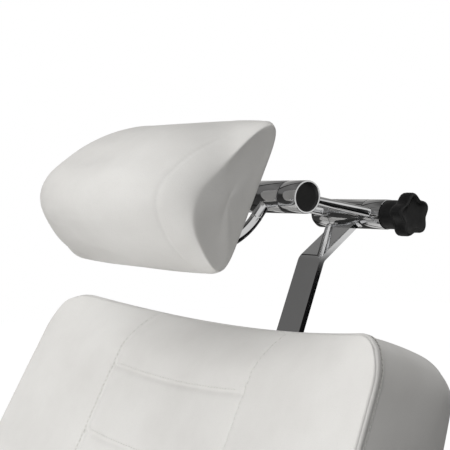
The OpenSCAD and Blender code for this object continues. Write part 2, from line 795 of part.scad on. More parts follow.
module headrest_cushion() color("linen") at_pillow()
    translate([-pillow_w / 2, pillow_rear, pillow_top]) rotate([90, 0, 90]) linear_extrude(pillow_w)
        polygon([[0, 0], [-44, 0], [-74, -58], [-96, -88], [-100, -108], [-88, -136],
            [-60, -pillow_h], [0, -pillow_h]]);

// ---- leg rest, in its own frame: -y runs along the leg rest ----

module leg_frame() color("gray") at_leg() {
    tube_x(-ear_x + ear_t / 2 + 0.5, ear_x - ear_t / 2 - 0.5, leg_tube_d, pin_d + 2 * fit);
    both_sides() {
        plate_yz(140, 8) difference() {
            union() {
                circle(d = leg_tube_d);
                polygon([[-9, -8], [-22, -19], [-44, -28], [-44, -50], [-20, -50], [4, -10]]);
            }
            circle(d = pin_d + 2 * fit);
        }
        translate([127.5, -leg_len + 16, -52]) cube([25, leg_len - 50, 25]);
    }
    for (y = [-100, -leg_len + 16]) translate([-130, y, -52]) cube([260, 25, 25]);
    crank_pair(drive_x, leg_py, leg_pz)
        polygon([[-100, -27], [-100, -52], [leg_py, leg_pz - 14], [leg_py + 8, leg_pz + 12], [-75, -27]]);
}

module leg_board() color("burlywood") at_leg() translate([0, -leg_len / 2 - 40, -15 - board_t])
    slab(leg_board_w, leg_len - 40, board_t, 30);

module leg_cushion() color("linen") at_leg() translate([0, -leg_gap - leg_len / 2, -15])
    slab(leg_w, leg_len, leg_rise + 15, 40);

base_plate();
base_cover();
levelling_feet();
column_outer();
column_bolts();
lower_glides();
lift_drive();
lower_shroud();
power_box();
pedal_housing();
pedal_left();
pedal_right();
column_middle();
upper_glides();
middle_shroud();
column_inner();
lift_rod();
upper_shroud();
swivel_bearing();
swivel_plate();
swivel_lever();
seat_frame();
seat_board();
seat_cushion();
hinge_pins();
arm_posts();
arm_left();
arm_pad_left();
arm_right();
arm_pad_right();
back_drive();
back_rod();
leg_drive();
leg_rod();
back_frame();
back_bushes();
back_board();
back_cushion();
back_shell();
bar_screw();
bar_knob();
headrest_bar();
rear_sleeve();
clamp_stud();
star_knob();
link_left();
link_right();
clamp_nut();
front_bolt();
friction_washers();
tube_plugs();
headrest_arm();
front_sleeve();
headrest_board();
headrest_cushion();
leg_frame();
leg_board();
leg_cushion();
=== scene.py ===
"""Looks of a dental chair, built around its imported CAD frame.

Metres, the frame of the CAD: +Z is up, the sitter faces -Y, +X is the sitter's left.
"""

import json
import math

import bpy
import numpy as np
from mathutils import Matrix, Vector
from mathutils.bvhtree import BVHTree


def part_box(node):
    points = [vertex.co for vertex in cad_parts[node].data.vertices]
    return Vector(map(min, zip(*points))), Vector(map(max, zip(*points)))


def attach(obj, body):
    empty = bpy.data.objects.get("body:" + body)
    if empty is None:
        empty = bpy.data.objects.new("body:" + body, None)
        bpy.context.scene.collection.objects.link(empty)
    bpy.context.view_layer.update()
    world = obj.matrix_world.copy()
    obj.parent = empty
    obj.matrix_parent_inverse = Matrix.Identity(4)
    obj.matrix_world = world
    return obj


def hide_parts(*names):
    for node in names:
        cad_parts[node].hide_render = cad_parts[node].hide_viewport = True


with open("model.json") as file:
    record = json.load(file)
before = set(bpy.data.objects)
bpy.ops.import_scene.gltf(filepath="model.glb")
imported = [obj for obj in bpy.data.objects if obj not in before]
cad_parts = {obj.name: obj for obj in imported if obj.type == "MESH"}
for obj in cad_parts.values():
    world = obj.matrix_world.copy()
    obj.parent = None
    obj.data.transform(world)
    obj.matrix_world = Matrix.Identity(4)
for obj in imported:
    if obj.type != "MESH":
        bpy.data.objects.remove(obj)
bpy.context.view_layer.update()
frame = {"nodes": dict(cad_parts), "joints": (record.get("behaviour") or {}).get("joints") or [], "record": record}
NODES = frame["nodes"]
JOINTS = {joint["name"]: joint for joint in frame["joints"]}
SCENE = bpy.context.scene
MM = 0.001


# ---- placing ----

def turn_x(degrees):
    return Matrix.Rotation(math.radians(degrees), 4, "X")


def at_joint(name):
    return Matrix.Translation(JOINTS[name]["pos_m"])


RECLINE = math.degrees(math.atan2(JOINTS["headrest_height"]["axis"][1], JOINTS["headrest_height"]["axis"][2]))
LEG_DROP = 35.0
PILLOW_LEAN = 20.0
PILLOW_TWIST = 0.8
# Pad frames: x across, y along the pad, z out of the pad towards the sitter
STAND_UP = turn_x(90)
BACK = at_joint("back_recline") @ turn_x(-RECLINE) @ STAND_UP
LEG = at_joint("leg_lift") @ turn_x(LEG_DROP)
PILLOW = at_joint("headrest_tilt") @ turn_x(-PILLOW_LEAN) @ Matrix.Rotation(math.radians(PILLOW_TWIST), 4, "Y")
REAR_TUBE = at_joint("headrest_swing")


# ---- mesh helpers ----

def add_object(name, data):
    obj = bpy.data.objects.new(name, data)
    SCENE.collection.objects.link(obj)
    return obj


def mesh_object(name, points, faces, smooth=True):
    mesh = bpy.data.meshes.new(name)
    mesh.from_pydata([tuple(p) for p in points], [], faces)
    mesh.validate()
    mesh.update()
    if smooth:
        mesh.shade_smooth()
    return add_object(name, mesh)


def get_points(mesh):
    co = np.empty(len(mesh.vertices) * 3, np.float64)
    mesh.vertices.foreach_get("co", co)
    return co.reshape(-1, 3)


def set_points(mesh, points):
    mesh.vertices.foreach_set("co", np.asarray(points, np.float32).ravel())
    mesh.update()


def get_normals(mesh):
    normals = np.empty(len(mesh.vertices) * 3, np.float32)
    mesh.vertex_normals.foreach_get("vector", normals)
    return normals.reshape(-1, 3)


def baked(obj):
    """Replaces the object's mesh by its mesh with all modifiers applied."""
    depsgraph = bpy.context.evaluated_depsgraph_get()
    mesh = bpy.data.meshes.new_from_object(obj.evaluated_get(depsgraph))
    obj.modifiers.clear()
    obj.data = mesh
    mesh.shade_smooth()
    return obj


def subdivided(obj, levels=1):
    modifier = obj.modifiers.new("subdivision", "SUBSURF")
    modifier.levels = levels
    modifier.render_levels = levels
    return baked(obj)


def sweep(centres, radius, closed=False, sides=8, flat=1.0):
    """Points and faces of a round cord along a line of centres. flat squeezes it along its second axis."""
    centres = [Vector(c) for c in centres]
    count = len(centres)
    points = []
    faces = []
    normal = None
    for i, centre in enumerate(centres):
        ahead = centres[(i + 1) % count] if closed or i < count - 1 else centre
        behind = centres[i - 1] if closed or i > 0 else centre
        tangent = (ahead - behind).normalized()
        if normal is None:
            normal = tangent.orthogonal().normalized()
        normal = (normal - tangent * normal.dot(tangent)).normalized()
        side = tangent.cross(normal)
        r = radius(i / max(1, count - 1)) if callable(radius) else radius
        for k in range(sides):
            a = 2 * math.pi * k / sides
            points.append(centre + normal * (r * math.cos(a)) + side * (r * flat * math.sin(a)))
    for i in range(count if closed else count - 1):
        for k in range(sides):
            j = (i + 1) % count
            k2 = (k + 1) % sides
            faces.append((i * sides + k, i * sides + k2, j * sides + k2, j * sides + k))
    if not closed:
        faces.append(tuple(range(sides - 1, -1, -1)))
        faces.append(tuple((count - 1) * sides + k for k in range(sides)))
    return points, faces


def joined(parts):
    """One list of points and one of faces from several (points, faces) pairs."""
    points = []
    faces = []
    for part_points, part_faces in parts:
        start = len(points)
        points.extend(part_points)
        faces.extend(tuple(start + i for i in face) for face in part_faces)
    return points, faces


def rounded_outline(corners, steps=6):
    """A closed outline from (y, z, radius) corners, each rounded by a curve."""
    outline = []
    count = len(corners)
    for i, (y, z, radius) in enumerate(corners):
        here = Vector((y, z))
        before = Vector(corners[i - 1][:2])
        after = Vector(corners[(i + 1) % count][:2])
        start = here + (before - here).normalized() * min(radius, (before - here).length / 2)
        end = here + (after - here).normalized() * min(radius, (after - here).length / 2)
        for k in range(steps + 1):
            t = k / steps
            outline.append(start * (1 - t) ** 2 + here * (2 * t * (1 - t)) + end * t ** 2)
    return outline


def evened(outline, count):
    """The closed outline again, with evenly spaced points."""
    points = np.array([tuple(p) for p in outline] + [tuple(outline[0])])
    steps = np.linalg.norm(np.diff(points, axis=0), axis=1)
    along = np.concatenate([[0], np.cumsum(steps)])
    places = np.linspace(0, along[-1], count, endpoint=False)
    return np.stack([np.interp(places, along, points[:, k]) for k in range(2)], axis=1)


# ---- cloth ----

def inflate(obj, pinned, cap, pressure=4.0, frames=14):
    """Blows the mesh up as cloth between its pinned points; no point moves further than cap."""
    rest = get_points(obj.data)
    group = obj.vertex_groups.new(name="pin")
    group.add([int(i) for i in pinned], 1.0, "REPLACE")
    modifier = obj.modifiers.new("cloth", "CLOTH")
    settings = modifier.settings
    settings.quality = 3
    settings.mass = 0.3
    settings.tension_stiffness = 20
    settings.compression_stiffness = 20
    settings.shear_stiffness = 10
    settings.bending_stiffness = 2
    settings.use_pressure = True
    settings.uniform_pressure_force = pressure
    settings.vertex_group_mass = "pin"
    settings.pin_stiffness = 1
    settings.effector_weights.gravity = 0
    modifier.collision_settings.use_collision = False
    modifier.point_cache.frame_start = 1
    modifier.point_cache.frame_end = frames
    for number in range(1, frames + 1):
        SCENE.frame_set(number)
    depsgraph = bpy.context.evaluated_depsgraph_get()
    moved = get_points(obj.evaluated_get(depsgraph).data)
    obj.modifiers.clear()
    obj.vertex_groups.clear()
    SCENE.frame_set(1)
    step = moved - rest
    length = np.linalg.norm(step, axis=1, keepdims=True)
    share = cap * np.tanh(length / cap) / np.maximum(length, 1e-9)
    set_points(obj.data, rest + step * share)


# ---- sewn pads ----

def stations(low, high, step, seams=(), edge=0.006):
    """Places from low to high, closer together at both ends and beside each seam."""
    marks = sorted({low, high, *seams})
    places = set()
    for a, b in zip(marks, marks[1:]):
        count = max(2, round((b - a) / step))
        for k in range(count + 1):
            places.add(round(a + (b - a) * k / count, 6))
    for mark in marks:
        for off in (-edge, -edge / 2.5, edge / 2.5, edge):
            if low < mark + off < high:
                places.add(round(mark + off, 6))
    return sorted(places)


def box_grid(nu, nv, nw):
    """Grid keys on the surface of a box of nu x nv x nw points, and its quads facing outwards."""
    top = (nu - 1, nv - 1, nw - 1)
    keys = [
        (i, j, k) for i in range(nu) for j in range(nv) for k in range(nw)
        if i in (0, top[0]) or j in (0, top[1]) or k in (0, top[2])
    ]
    index = {key: n for n, key in enumerate(keys)}
    faces = []
    for axis in range(3):
        b, c = (axis + 1) % 3, (axis + 2) % 3
        for level in (0, top[axis]):
            for p in range(top[b]):
                for q in range(top[c]):
                    quad = []
                    for dp, dq in ((0, 0), (1, 0), (1, 1), (0, 1)):
                        key = [0, 0, 0]
                        key[axis], key[b], key[c] = level, p + dp, q + dq
                        quad.append(index[tuple(key)])
                    faces.append(quad if level else quad[::-1])
    return keys, index, faces


class Pad:
    """A boxed cushion in its own frame: x across, y along, z outwards.

    Its front is sewn along seams, its edge carries a welt, and its back lies flat on a board.
    """

    def __init__(self, name, low, high, back, front, half_low, half_high, corner,
                 step=0.009, upright=(), cross=(), crown=0.006, pull=0.003, roll=0.0, roll_len=0.05,
                 roll_end="high", bulge=0.003, hollow=0.0, wings=6, dip=0.0,
                 rear_round=0.0, top_fall=0.0, lean=0.0, bow=0.0):
        self.name = name
        self.low, self.high = low, high
        self.back, self.front = back, front
        self.half_low, self.half_high = half_low, half_high
        self.corner = corner
        self.upright, self.cross = upright, cross
        self.crown, self.pull, self.bulge = crown, pull, bulge
        self.roll, self.roll_len, self.roll_end = roll, roll_len, roll_end
        self.hollow, self.wings, self.dip, self.rear_round = hollow, wings, dip, rear_round
        self.top_fall, self.lean, self.bow = top_fall, lean, bow
        widest = max(half_low, half_high)
        us = np.array(stations(-widest, widest, step, [s * x for x in upright for s in (-1, 1)])) / widest
        vs = np.array(stations(low, high, step, cross))
        ws = np.linspace(0, 1, max(4, round((front - back) / step)))
        keys, index, faces = box_grid(len(us), len(vs), len(ws))
        grid = np.array(keys)
        self.grid = grid
        self.sizes = (len(us), len(vs), len(ws))
        points = self.place(us[grid[:, 0]], vs[grid[:, 1]], ws[grid[:, 2]])
        self.obj = mesh_object(name, points, faces)
        self.rim = self.rim_loop(index)

    def rim_loop(self, index):
        """Vertex numbers of the front edge, in order."""
        nu, nv, nw = self.sizes
        k = nw - 1
        loop = [(i, 0) for i in range(nu - 1)]
        loop += [(nu - 1, j) for j in range(nv - 1)]
        loop += [(i, nv - 1) for i in range(nu - 1, 0, -1)]
        loop += [(0, j) for j in range(nv - 1, 0, -1)]
        return [index[(i, j, k)] for i, j in loop]

    def half_at(self, y):
        t = (y - self.low) / (self.high - self.low)
        return self.half_low + (self.half_high - self.half_low) * t

    def place(self, u, y, w):
        half = self.half_at(y)
        middle, half_len = (self.low + self.high) / 2, (self.high - self.low) / 2
        v = (y - middle) / half_len
        x_abs, y_abs = np.abs(u) * half, np.abs(v) * half_len
        # square corners become round ones
        dx = np.maximum(x_abs - (half - self.corner), 0) / self.corner
        dy = np.maximum(y_abs - (half_len - self.corner), 0) / self.corner
        x_abs = np.minimum(x_abs, half - self.corner) + self.corner * dx * np.sqrt(1 - dy ** 2 / 2)
        y_abs = np.minimum(y_abs, half_len - self.corner) + self.corner * dy * np.sqrt(1 - dx ** 2 / 2)
        # the edges pull in between the corners, and the sides belly out halfway up
        x_abs -= self.pull * (1 - v ** 2) * np.abs(u) ** 6
        y_abs -= self.pull * (1 - u ** 2) * np.abs(v) ** 6
        belly = self.bulge * np.sin(np.pi * w)
        x_abs += belly * np.abs(u) ** 12
        y_abs += belly * np.abs(v) ** 12
        # the top edge dips in the middle, and the rear edges are rounded
        y_abs -= np.where(v > 0, self.dip * (1 - u ** 2) * np.abs(v) ** 8, 0)
        tuck = self.rear_round * np.clip(1 - w / 0.3, 0, 1) ** 2
        x_abs -= tuck * np.abs(u) ** 12
        y_abs -= (tuck + np.where(v > 0, self.top_fall * (1 - w), 0)) * np.abs(v) ** 12
        z = self.back + w * (self.front - self.back)
        z = z + w ** 2 * self.crown * np.sqrt(np.maximum(0, (1 - u ** 4) * (1 - v ** 6)))
        # the middle is hollow between the wings, and one end of the front rolls back between the corners
        z = z - w ** 2 * self.hollow * (1 - u ** 2) ** 1.5
        z = z - w * self.lean * np.clip((y - self.high + 0.24) / 0.24, 0, 1) ** 1.4
        if self.roll:
            end = self.high if self.roll_end == "high" else self.low
            gap = np.clip(np.abs(end - y) / self.roll_len, 0, 1)
            z = z - w ** 2 * self.roll * (1 - gap) ** 1.3 * (1 - np.abs(u) ** self.wings)
        return np.stack([np.sign(u) * x_abs, middle + np.sign(v) * y_abs, z], axis=1)

    def seam_lines(self):
        """The sewn lines of the front as ((x0, y0), (x1, y1)) pairs."""
        lines = []
        for x in self.upright:
            for side in (-1, 1):
                lines.append(((side * x, self.low), (side * x, self.high)))
        reach = self.upright[0] if self.upright else min(self.half_low, self.half_high)
        for y in self.cross:
            lines.append(((-reach, y), (reach, y)))
        return lines

    def on_front(self):
        return self.grid[:, 2] == self.sizes[2] - 1

    def puff(self, cap, pressure=4.0):
        """Cloth pass: the front swells between its seams, the sides a little; the back is held flat."""
        points = get_points(self.obj.data)
        front = self.on_front()
        held = self.grid[:, 2] == 0
        held[self.rim] = True
        for (x0, y0), (x1, y1) in self.seam_lines():
            across = np.abs(points[:, 0] - x0) if x0 == x1 else np.abs(points[:, 1] - y0)
            inside = (points[:, 0] >= min(x0, x1) - 1e-4) & (points[:, 0] <= max(x0, x1) + 1e-4)
            held |= front & inside & (across < 0.001) if x0 != x1 else front & (across < 0.001)
        inflate(self.obj, np.nonzero(held)[0], cap, pressure)

    def sew(self, depth=0.0015, width=0.0032, pucker=0.00025):
        """Subdivides, then presses the seams into the front with a slight pucker beside them."""
        subdivided(self.obj)
        self.rim_points = get_points(self.obj.data)[self.rim]
        points = get_points(self.obj.data)
        facing = np.clip((get_normals(self.obj.data)[:, 2] - 0.3) / 0.4, 0, 1)
        for (x0, y0), (x1, y1) in self.seam_lines():
            upright = x0 == x1
            along, across = (points[:, 1], points[:, 0] - x0) if upright else (points[:, 0], points[:, 1] - y0)
            start, end = (y0, y1) if upright else (x0, x1)
            beyond = np.maximum(0, np.maximum(start - along, along - end))
            distance = np.hypot(across, beyond)
            press = depth * np.exp(-(distance / width) ** 2)
            ripple = pucker * np.sin(2 * np.pi * along / 0.013 + 1.7 * np.sin(along / 0.031))
            points[:, 2] -= facing * (press + ripple * np.exp(-(distance / 0.009) ** 2))
        set_points(self.obj.data, points)

    def bowed(self, points):
        """The points again, with the cross seams bowed up at both ends."""
        points = np.array([tuple(p) for p in points])
        x = np.abs(points[:, 0])
        middle, half_len = (self.low + self.high) / 2, (self.high - self.low) / 2
        across = np.clip(x / self.upright[0], 0, 1) ** 2 * np.clip((self.half_high - 0.02 - x) / 0.1, 0, 1)
        along = np.clip(1 - np.abs((points[:, 1] - middle) / half_len) ** 8, 0, 1)
        points[:, 1] += self.bow * across * along
        return points

    def tree(self):
        mesh = self.obj.data
        return BVHTree.FromPolygons([v.co for v in mesh.vertices], [p.vertices for p in mesh.polygons])

    def stitches(self, offset=0.0030, pitch=0.0048, thread=0.00030):
        """Short threads beside each seam, on its outer or upper side, lying on the front."""
        tree = self.tree()
        parts = []
        for (x0, y0), (x1, y1) in self.seam_lines():
            length = math.hypot(x1 - x0, y1 - y0)
            direction = Vector(((x1 - x0) / length, (y1 - y0) / length, 0))
            across = Vector((-direction.y, direction.x, 0))
            count = int((length - 0.02) / pitch)
            side = 1 if x0 != x1 or x0 < 0 else -1
            for n in range(count):
                start = Vector((x0, y0, 0)) + direction * (0.01 + n * pitch) + across * (side * offset)
                parts.append(self.stitch_on(tree, start, direction, pitch * 0.68, thread))
        return joined([part for part in parts if part])

    def stitch_on(self, tree, start, direction, length, thread):
        line = []
        for t in (0.0, 0.5, 1.0):
            place = start + direction * (length * t) + Vector((0, 0, self.front + 0.2))
            hit, normal, _, _ = tree.ray_cast(place, Vector((0, 0, -1)))
            if hit is None or normal.z < 0.2:
                return None
            line.append(hit + normal * (thread * (0.7 if t == 0.5 else -0.2)))
        return sweep(line, thread, sides=5)

    def rim_line(self, outward, up):
        """The front edge moved outwards and upwards, evenly spaced."""
        points = self.rim_points
        middle = points.mean(axis=0)
        centres = []
        count = len(points)
        for i, p in enumerate(points):
            tangent = Vector(points[(i + 2) % count] - points[i - 2])
            tangent.z = 0
            side = Vector((tangent.y, -tangent.x, 0)).normalized()
            if side.dot(Vector(p - middle)) < 0:
                side.negate()
            centres.append(Vector(p) + side * outward + Vector((0, 0, up)))
        return resampled(centres, 0.006)


def resampled(centres, step):
    """A closed line of points again, evenly spaced by about step."""
    points = np.array([tuple(c) for c in centres] + [tuple(centres[0])])
    along = np.concatenate([[0], np.cumsum(np.linalg.norm(np.diff(points, axis=0), axis=1))])
    count = max(8, int(along[-1] / step))
    places = np.linspace(0, along[-1], count, endpoint=False)
    return [Vector(np.array([np.interp(p, along, points[:, k]) for k in range(3)])) for p in places]


# ---- materials ----

class Shader:
    """A material with a principled surface, and short calls for the nodes that feed it."""

    def __init__(self, name):
        self.material = bpy.data.materials.new(name)
        self.material.use_nodes = True
        self.nodes = self.material.node_tree.nodes
        self.links = self.material.node_tree.links
        self.surface = self.nodes["Principled BSDF"]
        self.coords = self.nodes.new("ShaderNodeTexCoord").outputs["Object"]

    def put(self, target, value):
        if isinstance(value, bpy.types.NodeSocket):
            self.links.new(value, target)
        else:
            target.default_value = value

    def set(self, **inputs):
        for name, value in inputs.items():
            self.put(self.surface.inputs[name.replace("_", " ")], value)
        return self

    def mapped(self, scale=(1, 1, 1), turn=(0, 0, 0)):
        node = self.nodes.new("ShaderNodeMapping")
        self.put(node.inputs["Vector"], self.coords)
        node.inputs["Scale"].default_value = scale
        node.inputs["Rotation"].default_value = [math.radians(a) for a in turn]
        return node.outputs["Vector"]

    def noise(self, scale, detail=3.0, rough=0.5, vector=None, distortion=0.0):
        node = self.nodes.new("ShaderNodeTexNoise")
        self.put(node.inputs["Vector"], vector or self.coords)
        node.inputs["Scale"].default_value = scale
        node.inputs["Detail"].default_value = detail
        node.inputs["Roughness"].default_value = rough
        node.inputs["Distortion"].default_value = distortion
        return node.outputs["Fac"]

    def cells(self, scale, feature="DISTANCE_TO_EDGE", vector=None, randomness=1.0):
        node = self.nodes.new("ShaderNodeTexVoronoi")
        node.feature = feature
        self.put(node.inputs["Vector"], vector or self.coords)
        node.inputs["Scale"].default_value = scale
        node.inputs["Randomness"].default_value = randomness
        return node.outputs["Distance"]

    def math(self, operation, a, b=0.5):
        node = self.nodes.new("ShaderNodeMath")
        node.operation = operation
        self.put(node.inputs[0], a)
        self.put(node.inputs[1], b)
        return node.outputs[0]

    def remap(self, value, low, high, out_low, out_high):
        node = self.nodes.new("ShaderNodeMapRange")
        self.put(node.inputs["Value"], value)
        for name, number in (("From Min", low), ("From Max", high), ("To Min", out_low), ("To Max", out_high)):
            node.inputs[name].default_value = number
        return node.outputs[0]

    def mix(self, share, a, b):
        node = self.nodes.new("ShaderNodeMix")
        node.data_type = "RGBA"
        self.put(node.inputs[0], share)
        self.put(node.inputs[6], (*a, 1) if isinstance(a, tuple) else a)
        self.put(node.inputs[7], (*b, 1) if isinstance(b, tuple) else b)
        return node.outputs[2]

    def axis(self, name):
        node = self.nodes.new("ShaderNodeSeparateXYZ")
        self.put(node.inputs[0], self.coords)
        return node.outputs[name]

    def edges(self, radius=0.002):
        """1 on worn convex edges, 0 elsewhere."""
        bevel = self.nodes.new("ShaderNodeBevel")
        bevel.inputs["Radius"].default_value = radius
        bevel.samples = 4
        geometry = self.nodes.new("ShaderNodeNewGeometry")
        dot = self.nodes.new("ShaderNodeVectorMath")
        dot.operation = "DOT_PRODUCT"
        self.links.new(bevel.outputs[0], dot.inputs[0])
        self.links.new(geometry.outputs["True Normal"], dot.inputs[1])
        return self.remap(dot.outputs["Value"], 0.985, 0.9, 0, 1)

    def shade_in_folds(self, distance):
        node = self.nodes.new("ShaderNodeAmbientOcclusion")
        node.inputs["Distance"].default_value = distance
        node.samples = 4
        return node.outputs["AO"]

    def bump(self, *layers):
        """Layers are (height, strength, distance), the last one outermost."""
        previous = None
        for height, strength, distance in layers:
            node = self.nodes.new("ShaderNodeBump")
            node.inputs["Strength"].default_value = strength
            node.inputs["Distance"].default_value = distance
            self.links.new(height, node.inputs["Height"])
            if previous:
                self.links.new(previous, node.inputs["Normal"])
            previous = node.outputs["Normal"]
        self.links.new(previous, self.surface.inputs["Normal"])
        return self


def vinyl(name, light, dark):
    """Off-white upholstery vinyl: fine pebble grain, faint mottling, a little soiling and painted shade in the
    creases.
    """
    s = Shader(name)
    grain = s.cells(900)
    fine = s.noise(2600, 2)
    cloud = s.noise(9, 4, 0.6)
    # painted shade and soiling: ambient occlusion picks out the creases, seams and the contacts beside the welt
    crease = s.shade_in_folds(0.006)
    tone = s.mix(s.remap(cloud, 0.35, 0.65, 0, 1), light, dark)
    tint = s.mix(s.remap(grain, 0.0, 0.12, 0.14, 0), tone, tuple(c * 0.7 for c in dark))
    # the crease mask darkens the colour there: painted shade, partly meant as soiling
    soil_and_painted_shade = s.mix(s.remap(crease, 0.15, 0.75, 0.45, 0), tint, tuple(c * 0.55 for c in dark))
    rough = s.remap(s.noise(60, 4), 0.3, 0.7, 0.40, 0.52)
    s.set(Base_Color=soil_and_painted_shade, Roughness=rough, Specular_IOR_Level=0.42, Sheen_Weight=0.06, Coat_Weight=0.04,
          Coat_Roughness=0.35)
    return s.bump((s.noise(55, 3), 0.10, 0.002), (grain, 0.14, 0.0004), (fine, 0.05, 0.0002)).material


def chrome(name):
    s = Shader(name)
    scratches = s.noise(1, 6, 0.7, s.mapped((900, 900, 60)))
    smear = s.noise(38, 5, 0.6, distortion=0.6)
    rough = s.remap(smear, 0.35, 0.75, 0.035, 0.10)
    color = s.mix(s.remap(s.noise(14, 3), 0.3, 0.7, 0, 1), (0.73, 0.735, 0.75), (0.66, 0.665, 0.68))
    s.set(Base_Color=color, Metallic=1.0, Roughness=rough)
    return s.bump((scratches, 0.02, 0.0002), (s.noise(24, 2), 0.03, 0.001)).material


def brushed_steel(name):
    s = Shader(name)
    brush = s.noise(1, 5, 0.7, s.mapped((40, 1400, 1400)))
    color = s.mix(brush, (0.42, 0.42, 0.44), (0.66, 0.66, 0.68))
    s.set(Base_Color=color, Metallic=1.0, Roughness=s.remap(brush, 0.3, 0.7, 0.22, 0.38))
    return s.bump((brush, 0.12, 0.0003), (s.noise(180, 3), 0.05, 0.0004)).material


def paint(name, color, worn, rough=0.45, peel=0.12):
    """Powder coat: orange peel, faint cloudiness, edges rubbed towards another colour."""
    s = Shader(name)
    cloud = s.remap(s.noise(11, 4), 0.3, 0.7, 0, 1)
    base = s.mix(cloud, color, tuple(c * 0.82 for c in color))
    wear = s.math("MULTIPLY", s.edges(0.0015), s.remap(s.noise(70, 4, 0.7), 0.45, 0.65, 0, 0.8))
    s.set(Base_Color=s.mix(wear, base, worn), Roughness=s.remap(s.noise(40, 3), 0.3, 0.7, rough - 0.06, rough + 0.1))
    return s.bump((s.noise(420, 2), peel, 0.0004), (s.noise(1500, 2), peel / 2, 0.0002)).material


def white_shell(name):
    s = Shader(name)
    cloud = s.remap(s.noise(7, 4), 0.3, 0.7, 0, 1)
    base = s.mix(cloud, (0.80, 0.80, 0.785), (0.74, 0.74, 0.72))
    scuff = s.math("MULTIPLY", s.remap(s.axis("Z"), 0.0, 0.16, 0.6, 0.0), s.noise(45, 5, 0.7, distortion=1.0))
    s.set(Base_Color=s.mix(scuff, base, (0.5, 0.49, 0.46)), Roughness=s.remap(s.noise(30, 4), 0.3, 0.7, 0.28, 0.42),
          Coat_Weight=0.15, Coat_Roughness=0.2)
    return s.bump((s.noise(700, 2), 0.05, 0.0003), (s.noise(20, 2), 0.05, 0.002)).material


def black_plastic(name):
    """Moulded black plastic with a spark-eroded texture, greyer where hands rub it."""
    s = Shader(name)
    texture = s.cells(1700, "F1")
    cloud = s.remap(s.noise(60, 4), 0.3, 0.7, 0, 1)
    base = s.mix(cloud, (0.006, 0.006, 0.006), (0.011, 0.011, 0.0115))
    worn = s.mix(s.math("MULTIPLY", s.edges(0.0015), 0.35), base, (0.09, 0.09, 0.09))
    s.set(Base_Color=worn, Roughness=s.remap(s.noise(90, 4), 0.3, 0.7, 0.40, 0.55), Specular_IOR_Level=0.30)
    return s.bump((texture, 0.22, 0.0003), (s.noise(260, 3), 0.05, 0.0004)).material


def nylon(name):
    s = Shader(name)
    base = s.mix(s.noise(25, 4), (0.74, 0.70, 0.60), (0.64, 0.60, 0.50))
    s.set(Base_Color=base, Roughness=s.remap(s.noise(80, 3), 0.3, 0.7, 0.4, 0.55), Subsurface_Weight=0.05)
    return s.bump((s.noise(600, 3), 0.08, 0.0003)).material


def plywood(name):
    """Birch veneer on the faces; the plies show as stripes where the board is cut."""
    s = Shader(name)
    figure = s.noise(5, 5, 0.6, s.mapped((14, 1.6, 14)), distortion=0.8)
    pores = s.noise(1, 4, 0.7, s.mapped((900, 60, 900)))
    face = s.mix(s.remap(figure, 0.3, 0.7, 0, 1), (0.52, 0.37, 0.22), (0.64, 0.48, 0.31))
    grain = s.mix(s.remap(pores, 0.45, 0.75, 0, 0.5), face, (0.30, 0.19, 0.10))
    s.set(Base_Color=grain, Roughness=s.remap(pores, 0.3, 0.7, 0.5, 0.68))
    return s.bump((pores, 0.2, 0.0004), (figure, 0.05, 0.0006)).material


def foot_material(name):
    """Black rubber pads under zinc-plated studs: the height tells them apart."""
    s = Shader(name)
    is_metal = s.remap(s.axis("Z"), 0.0098, 0.0102, 0, 1)
    brush = s.noise(1, 5, 0.7, s.mapped((600, 600, 2400)))
    zinc = s.mix(brush, (0.50, 0.50, 0.52), (0.68, 0.68, 0.70))
    rubber = s.mix(s.noise(130, 4), (0.018, 0.018, 0.018), (0.034, 0.033, 0.032))
    s.set(Base_Color=s.mix(is_metal, rubber, zinc), Metallic=is_metal, Roughness=s.remap(brush, 0.3, 0.7, 0.35, 0.7))
    return s.bump((s.cells(900), 0.15, 0.0003), (brush, 0.08, 0.0003)).material


def thread_material(name):
    s = Shader(name)
    twist = s.noise(1, 3, 0.6, s.mapped((2600, 2600, 2600), (35, 20, 45)))
    s.set(Base_Color=s.mix(twist, (0.70, 0.69, 0.66), (0.52, 0.51, 0.48)), Roughness=0.6, Sheen_Weight=0.2)
    return s.bump((twist, 0.4, 0.0002)).material


MATERIALS = {
    "upholstery": vinyl("vinyl_white", (0.70, 0.69, 0.668), (0.64, 0.628, 0.606)),
    "chrome": chrome("chrome_plate"),
    "steel": brushed_steel("brushed_steel"),
    "grey_paint": paint("grey_powder_coat", (0.22, 0.225, 0.235), (0.45, 0.45, 0.46)),
    "dark_paint": paint("black_drive_paint", (0.022, 0.022, 0.025), (0.20, 0.20, 0.20), 0.5),
    "white_shell": white_shell("white_moulding"),
    "black_plastic": black_plastic("black_moulding"),
    "nylon": nylon("natural_nylon"),
    "plywood": plywood("birch_plywood"),
}
FEET = foot_material("rubber_and_zinc")
THREAD = thread_material("thread")


def paint_on(obj, material):
    obj.data.materials.clear()
    obj.data.materials.append(material)
    return obj


def finish_cad_nodes():
    """Gives every CAD node its slot's material, and rounds its sharp edges."""
    slots = {row["node"]: row["material_slot"] for row in frame["record"]["subparts"]}
    for name, obj in NODES.items():
        paint_on(obj, FEET if name == "levelling_feet" else MATERIALS[slots[name]])
        weld = obj.modifiers.new("weld", "WELD")
        weld.merge_threshold = 1e-5
        bevel = obj.modifiers.new("bevel", "BEVEL")
        bevel.width = 0.0006
        bevel.segments = 2
        bevel.limit_method = "ANGLE"
        bevel.angle_limit = math.radians(35)
        bevel.harden_normals = False


# ---- upholstery ----

